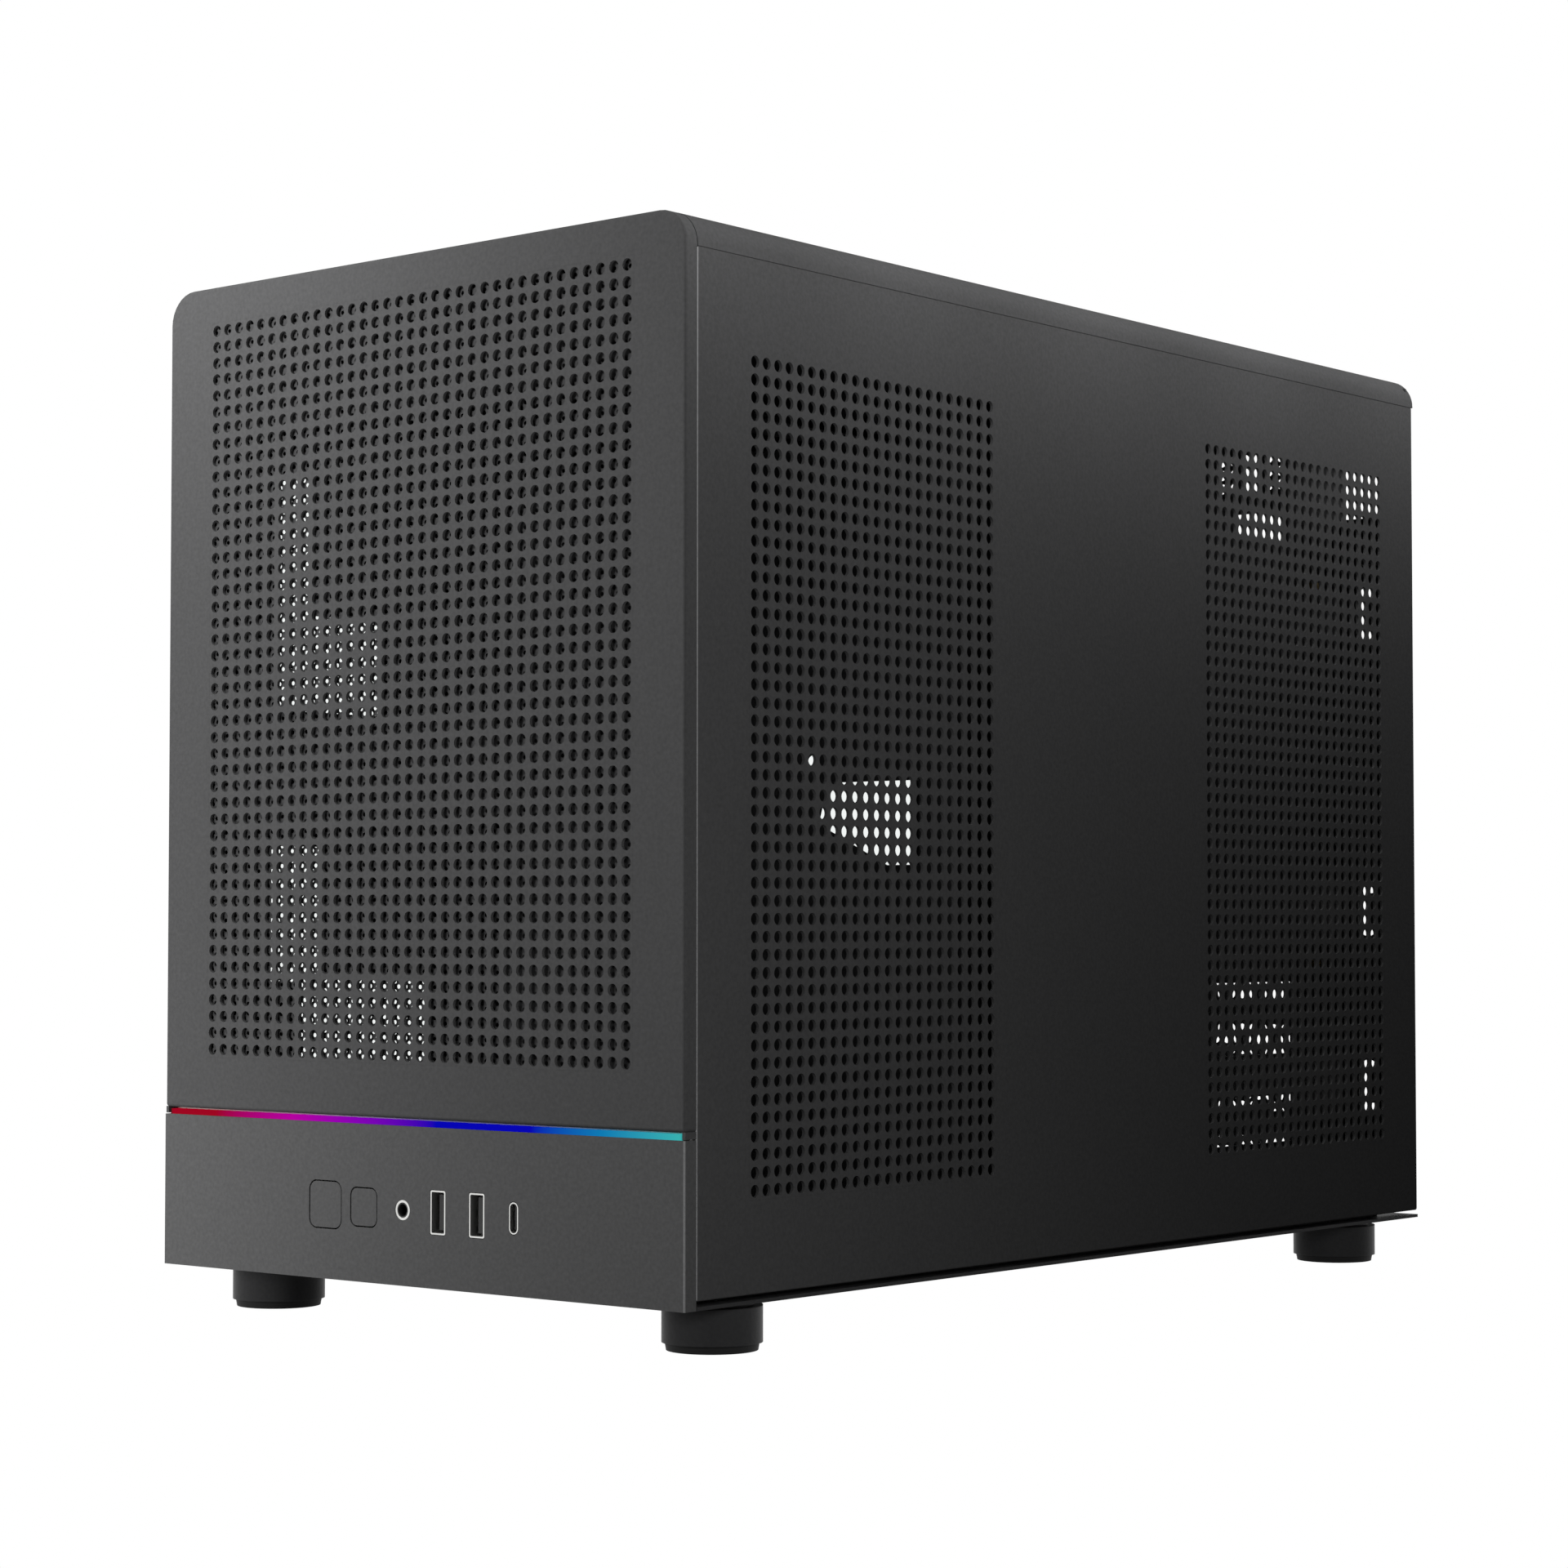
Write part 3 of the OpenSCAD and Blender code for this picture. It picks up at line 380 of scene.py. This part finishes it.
field = weave(*FILTER_FIELD, FILTER_MID, FILTER_PITCH, FILTER_HOLE, FILTER_DEPTH)
border = rail(*FILTER_RIM, RIM_WIDTH, RIM_FRONT, RIM_BACK)
filter_piece = make_mesh("filter_weave", place([field, border], FRONT, FRONT_AT))
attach(filter_piece, "front_panel")
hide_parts("dust_filter")

# %% [markdown]
# ## Materials
#
# The real sheets have a matt powder coat with a fine grain. Every material here is procedural
# and works in object coordinates, so it needs no unwrapping and moves with its piece. A fine
# noise gives the grain both as small bumps and as lighter and darker specks. The covers have
# no mirror share, because a white room seen in them would make the dark side too light.
#
# A bevel node rounds the light on the sharp edges of the CAD pieces. Along two upright edges
# the coat is painted lighter, a painted highlight that stands for the bright line of light on
# these rounded edges.


# %% Material helpers
GRAIN_SCALE, GRAIN_DEPTH, GRAIN_TONE = 900, 0.0002, 0.2
# A Mix node has its own sockets for colours: inputs A and B, and the result.
MIX_A, MIX_B, MIX_OUT = 6, 7, 2


def new_material(name):
    """An empty node material with an output; returns (material, nodes, links, output)."""
    mat = bpy.data.materials.new(name)
    mat.use_nodes = True
    tree = mat.node_tree
    tree.nodes.clear()
    out = tree.nodes.new("ShaderNodeOutputMaterial")
    return mat, tree.nodes, tree.links, out


def painted_edge_highlight(ns, links, where, shade, rim):
    """Paint a highlight: multiply a colour by a factor that falls with the distance from an
    upright line.

    rim = (x, y, radius, gain) in mm: the distance leaves out the height, and the factor is
    gain on the line at x, y and 1 from the radius on.
    """
    split = ns.new("ShaderNodeSeparateXYZ")
    links.new(where.outputs["Object"], split.inputs[0])
    flat = ns.new("ShaderNodeCombineXYZ")
    for axis in "XY":
        links.new(split.outputs[axis], flat.inputs[axis])
    away = ns.new("ShaderNodeVectorMath")
    away.operation = "DISTANCE"
    links.new(flat.outputs[0], away.inputs[0])
    away.inputs[1].default_value = (rim[0] * MM, rim[1] * MM, 0)
    fade = ns.new("ShaderNodeMapRange")
    fade.inputs["From Max"].default_value = rim[2] * MM
    fade.inputs["To Min"].default_value = rim[3]
    fade.inputs["To Max"].default_value = 1.0
    links.new(away.outputs["Value"], fade.inputs["Value"])
    gain = ns.new("ShaderNodeVectorMath")
    gain.operation = "SCALE"
    links.new(shade, gain.inputs[0])
    links.new(fade.outputs[0], gain.inputs["Scale"])
    return gain.outputs[0]


def coat(name, color, rough=0.5, metal=0.0, spec=0.5, grain=0.0, bevel=0.0, rim=None):
    """Principled surface with grain of the given strength and a rounded-edge radius in mm.

    The grain's specks run from color (1 - GRAIN_TONE) to color (1 + GRAIN_TONE). A coat with
    grain may also have a rim, a painted highlight along an upright edge, given as (x, y,
    radius, gain) in mm.
    """
    mat, ns, links, out = new_material(name)
    bsdf = ns.new("ShaderNodeBsdfPrincipled")
    links.new(bsdf.outputs[0], out.inputs[0])
    bsdf.inputs["Base Color"].default_value = (*color, 1)
    bsdf.inputs["Roughness"].default_value = rough
    bsdf.inputs["Metallic"].default_value = metal
    bsdf.inputs["Specular IOR Level"].default_value = spec
    normal = None
    if bevel:
        edge = ns.new("ShaderNodeBevel")
        edge.samples = 4
        edge.inputs["Radius"].default_value = bevel * MM
        normal = edge.outputs[0]
    if grain:
        where = ns.new("ShaderNodeTexCoord")
        noise = ns.new("ShaderNodeTexNoise")
        noise.inputs["Scale"].default_value = GRAIN_SCALE
        noise.inputs["Detail"].default_value = 2
        links.new(where.outputs["Object"], noise.inputs["Vector"])
        bump = ns.new("ShaderNodeBump")
        bump.inputs["Strength"].default_value = grain
        bump.inputs["Distance"].default_value = GRAIN_DEPTH
        links.new(noise.outputs[0], bump.inputs["Height"])
        if normal:
            links.new(normal, bump.inputs["Normal"])
        normal = bump.outputs[0]
        tone = ns.new("ShaderNodeMix")
        tone.data_type = "RGBA"
        tone.inputs[MIX_A].default_value = (*[c * (1 - GRAIN_TONE) for c in color], 1)
        tone.inputs[MIX_B].default_value = (*[c * (1 + GRAIN_TONE) for c in color], 1)
        links.new(noise.outputs[0], tone.inputs[0])
        shade = tone.outputs[MIX_OUT]
        # painted highlight: the coat is made lighter near one upright edge
        if rim:
            shade = painted_edge_highlight(ns, links, where, shade, rim)
        links.new(shade, bsdf.inputs["Base Color"])
    if normal:
        links.new(normal, bsdf.inputs["Normal"])
    return mat


# %% [markdown]
# ## The light bar
#
# The photo shows a lit bar between the two front covers, whose colour runs from red on the
# left to cyan on the right. It is taken to be milky plastic with a strip of lights behind. A
# lamp behind a translucent bar would be slow and noisy, so the bar itself gives off light,
# with a colour ramp along X. A few plain colours describe it, and its two ends are dark.


# %% Light bar
DARK = (0.01, 0.01, 0.01)
RED = (0.34, 0.002, 0.015)
MAGENTA = (0.46, 0.001, 0.35)
VIOLET = (0.24, 0.001, 0.46)
BLUE = (0.002, 0.002, 0.45)
AZURE = (0.005, 0.20, 0.45)
CYAN = (0.04, 0.44, 0.43)
BAR = [
    (0.0025, DARK), (0.004, RED), (0.10, RED), (0.26, MAGENTA), (0.39, VIOLET),
    (0.55, BLUE), (0.73, BLUE), (0.86, AZURE), (0.996, CYAN), (0.9975, DARK),
]
BAR_HALF = 105.2


def light_bar():
    """Emission whose colour runs along X: t = (x + BAR_HALF) / (2 BAR_HALF)."""
    mat, ns, links, out = new_material("light_bar")
    where = ns.new("ShaderNodeTexCoord")
    split = ns.new("ShaderNodeSeparateXYZ")
    links.new(where.outputs["Object"], split.inputs[0])
    ramp_in = ns.new("ShaderNodeMapRange")
    ramp_in.inputs["From Min"].default_value = -BAR_HALF * MM
    ramp_in.inputs["From Max"].default_value = BAR_HALF * MM
    links.new(split.outputs["X"], ramp_in.inputs["Value"])
    ramp = ns.new("ShaderNodeValToRGB")
    items = ramp.color_ramp.elements
    while len(items) < len(BAR):
        items.new(0.5)
    for e, (pos, col) in zip(items, BAR):
        e.position = pos
        e.color = (*col, 1)
    links.new(ramp_in.outputs[0], ramp.inputs[0])
    glow = ns.new("ShaderNodeEmission")
    links.new(ramp.outputs[0], glow.inputs[0])
    links.new(glow.outputs[0], out.inputs[0])
    return mat


# %% [markdown]
# ## Clear glass
#
# The left side is a flat pane. A true glass shader bends each ray twice and needs many samples
# to be clean, and a flat pane hardly shifts what is behind it. So the pane lets rays straight
# through, and only its outer faces mirror a little.


# %% Glass
GLASS_INDEX, GLASS_TINT, GLASS_ROUGH = 1.45, (0.97, 0.985, 0.98), 0.02


def clear_glass():
    """Clear glass whose outer faces mirror a share that grows at flat angles.

    The share is what a surface of GLASS_INDEX mirrors on faces that look at the ray, about
    3 % seen straight on, and 0 on the others.
    """
    mat, ns, links, out = new_material("side_glass")
    mirrored = ns.new("ShaderNodeFresnel")
    mirrored.inputs[0].default_value = GLASS_INDEX
    side_of = ns.new("ShaderNodeNewGeometry")
    facing = ns.new("ShaderNodeMix")
    facing.data_type = "FLOAT"
    links.new(side_of.outputs["Backfacing"], facing.inputs[0])
    links.new(mirrored.outputs[0], facing.inputs[2])
    facing.inputs[3].default_value = 0.0
    see = ns.new("ShaderNodeBsdfTransparent")
    see.inputs[0].default_value = (*GLASS_TINT, 1)
    shine = ns.new("ShaderNodeBsdfGlossy")
    shine.inputs["Roughness"].default_value = GLASS_ROUGH
    mix = ns.new("ShaderNodeMixShader")
    links.new(facing.outputs[0], mix.inputs[0])
    links.new(see.outputs[0], mix.inputs[1])
    links.new(shine.outputs[0], mix.inputs[2])
    links.new(mix.outputs[0], out.inputs[0])
    return mat


# %% [markdown]
# ## One look per piece
#
# The record names a material slot for every CAD node, so one table of looks serves them all.
# Colours are linear and were set so that the lit coat matches the photo's greys. The plain
# front cover below the bar is painted a little lighter than the perforated covers: painted
# light, a lighter copy of the same coat for the brighter light on that cover and its buttons.


# %% Give every node its material
COVER = (0.082, 0.082, 0.083)
# painted light: the covers' coat made lighter for the plain front cover and its buttons
FASCIA_PAINTED_LIGHT = (0.104, 0.104, 0.105)
FRAME = (0.035, 0.035, 0.036)
RUBBER = (0.02, 0.02, 0.02)
POWDER = {"rough": 0.6, "spec": 0.0, "grain": 0.25}
looks = {
    "frame_steel": coat("frame_steel", FRAME, 0.5, spec=0.04, grain=0.15, bevel=0.2),
    "cover_steel": coat("cover_steel", COVER, **POWDER),
    "filter_mesh": coat("filter_mesh", (0.068, 0.068, 0.069), 0.6, spec=0.0),
    "black_plastic": coat("black_plastic", (0.015, 0.015, 0.015), 0.45),
    "button_plastic": coat("button_plastic", FASCIA_PAINTED_LIGHT, **POWDER),
    "screw_steel": coat("screw_steel", (0.35, 0.35, 0.36), 0.35, metal=1.0, bevel=0.2),
    "light_diffuser": light_bar(),
    "led_board": coat("led_board", (0.6, 0.6, 0.58), 0.6),
    "circuit_board": coat("circuit_board", (0.02, 0.09, 0.04), 0.4),
    "spacer_metal": coat("spacer_metal", (0.5, 0.5, 0.5), 0.4, metal=1.0),
    "port_shell": coat("port_shell", (0.72, 0.72, 0.7), 0.35, metal=1.0),
    "port_tongue": coat("port_tongue", (0.012, 0.012, 0.012), 0.5),
    "side_glass": clear_glass(),
    "brass": coat("brass", (0.6, 0.45, 0.2), 0.35, metal=1.0),
    "foot_plastic": coat("foot_plastic", FRAME, 0.4, spec=0.08, grain=0.2, bevel=0.5),
    "foot_rubber": coat("foot_rubber", RUBBER, 0.6, spec=0.08, bevel=0.3),
}
for part in frame["record"]["subparts"]:
    data = nodes[part["node"]].data
    data.materials.clear()
    data.materials.append(looks[part["material_slot"]])

# the two upright edges with a lighter coat, a painted highlight: (x, y, radius, gain)
FASCIA_PAINTED_HIGHLIGHT = (HALF_W, FRONT_Y, 0.65, 2.8)
SIDE_PAINTED_HIGHLIGHT = (106.2, -192.85, 0.45, 6.0)
nodes["front_fascia"].data.materials[0] = coat("fascia_coat_painted_light", FASCIA_PAINTED_LIGHT, rim=FASCIA_PAINTED_HIGHLIGHT, **POWDER)
front.data.materials.append(looks["cover_steel"])
side.data.materials.append(coat("side_coat_painted_highlight", COVER, rim=SIDE_PAINTED_HIGHLIGHT, **POWDER))
filter_piece.data.materials.append(looks["filter_mesh"])
print("materials:", sorted(looks))

# %% [markdown]
# ## Background
#
# The photo has a plain white background, and the case stands on nothing. Rays from the camera,
# mirrored rays and rays through glass see the white. All others see a nearly dark room, so the
# white background hardly lights the case and its shading comes from the lamps.


# %% Background
scene = bpy.context.scene
world = bpy.data.worlds.new("studio")
scene.world = world
world.use_nodes = True
wn = world.node_tree.nodes
wl = world.node_tree.links
wn.clear()


def background(strength):
    """A white background shader of the given strength."""
    shader = wn.new("ShaderNodeBackground")
    shader.inputs[0].default_value = (1, 1, 1, 1)
    shader.inputs[1].default_value = strength
    return shader.outputs[0]


ray = wn.new("ShaderNodeLightPath")
seen = ray.outputs["Is Camera Ray"]
for kind in ("Is Glossy Ray", "Is Transmission Ray"):
    either = wn.new("ShaderNodeMath")
    either.operation = "MAXIMUM"
    wl.new(seen, either.inputs[0])
    wl.new(ray.outputs[kind], either.inputs[1])
    seen = either.outputs[0]
pick = wn.new("ShaderNodeMixShader")
wl.new(seen, pick.inputs[0])
wl.new(background(0.01), pick.inputs[1])
wl.new(background(1.0), pick.inputs[2])
sky_out = wn.new("ShaderNodeOutputWorld")
wl.new(pick.outputs[0], sky_out.inputs[0])
print("background: white for camera, glossy and transmission rays")

# %% [markdown]
# ## Lights
#
# The photo's front is lighter on the left, and its right side fades downwards and to the rear.
# Two small lamps near the left of the front and one near its right shade it, and a row of six
# above the right side's top edge fades down that side. Their places and powers were fitted to
# greys measured in the photo. Three lamps above and two fills light the top, the rear and the
# left, for other views than the photo's.


# %% Lights
def lamp(name, where, radius, power):
    """A small round lamp that neither the camera nor a shiny finish sees."""
    data = bpy.data.lights.new(name, "POINT")
    data.shadow_soft_size = radius
    data.energy = power
    obj = bpy.data.objects.new(name, data)
    scene.collection.objects.link(obj)
    obj.location = where
    obj.visible_camera = False
    obj.visible_glossy = False


# places and radii in metres, powers in watts
ROW_COUNT, ROW_POWER, TOP_POWER = 6, 0.87, 6.0
TOP_PLACES = (-0.16, 0.04, 0.24)
SMALL, LARGE = 0.05, 0.1
for y in np.linspace(-0.2, 0.29, ROW_COUNT):
    lamp("side_row", (0.166, y, 0.34), 0.02, ROW_POWER / ROW_COUNT)
lamp("side_front", (0.408, -0.351, 0.122), SMALL, 1.78)
lamp("front_high", (-0.114, -0.4, 0.396), SMALL, 3.8)
lamp("front_low", (-0.18, -0.4, 0.041), SMALL, 1.9)
for y in TOP_PLACES:
    lamp("top_row", (0.0, y, 0.75), SMALL, TOP_POWER / len(TOP_PLACES))
lamp("rear_fill", (0.1, 0.8, 0.45), LARGE, 8.0)
lamp("left_fill", (-0.85, 0.1, 0.4), LARGE, 9.0)

# %% [markdown]
# ## Camera
#
# The holes of the front and the right side form two square grids, so their places in the photo
# give the camera's direction and focal length and, with their pitch, its place. The camera
# looks along LOOK: its elevation is the angle whose sine is the upward share of LOOK, and its
# turn about the upright axis is the angle of LOOK's level part, from +Y towards -X.


# %% Camera
CAMERA_AT = (0.72569, -0.90241, 0.11889)
LOOK = np.array([-0.63801, 0.76899, 0.03982])
FOCAL_MM, SENSOR_MM, NEAREST = 79.68, 36.0, 0.01
cam_data = bpy.data.cameras.new("photo_view")
cam_data.lens = FOCAL_MM
cam_data.sensor_width = SENSOR_MM
cam_data.clip_start = NEAREST
cam = bpy.data.objects.new("photo_view", cam_data)
scene.collection.objects.link(cam)
cam.location = CAMERA_AT
elevation = math.asin(LOOK[2] / np.linalg.norm(LOOK))
azimuth = math.atan2(-LOOK[0], LOOK[1])
cam.rotation_euler = (math.pi / 2 + elevation, 0, azimuth)
scene.camera = cam
scene.view_settings.view_transform = "Standard"
print("camera:", CAMERA_AT, "elevation", round(math.degrees(elevation), 2))
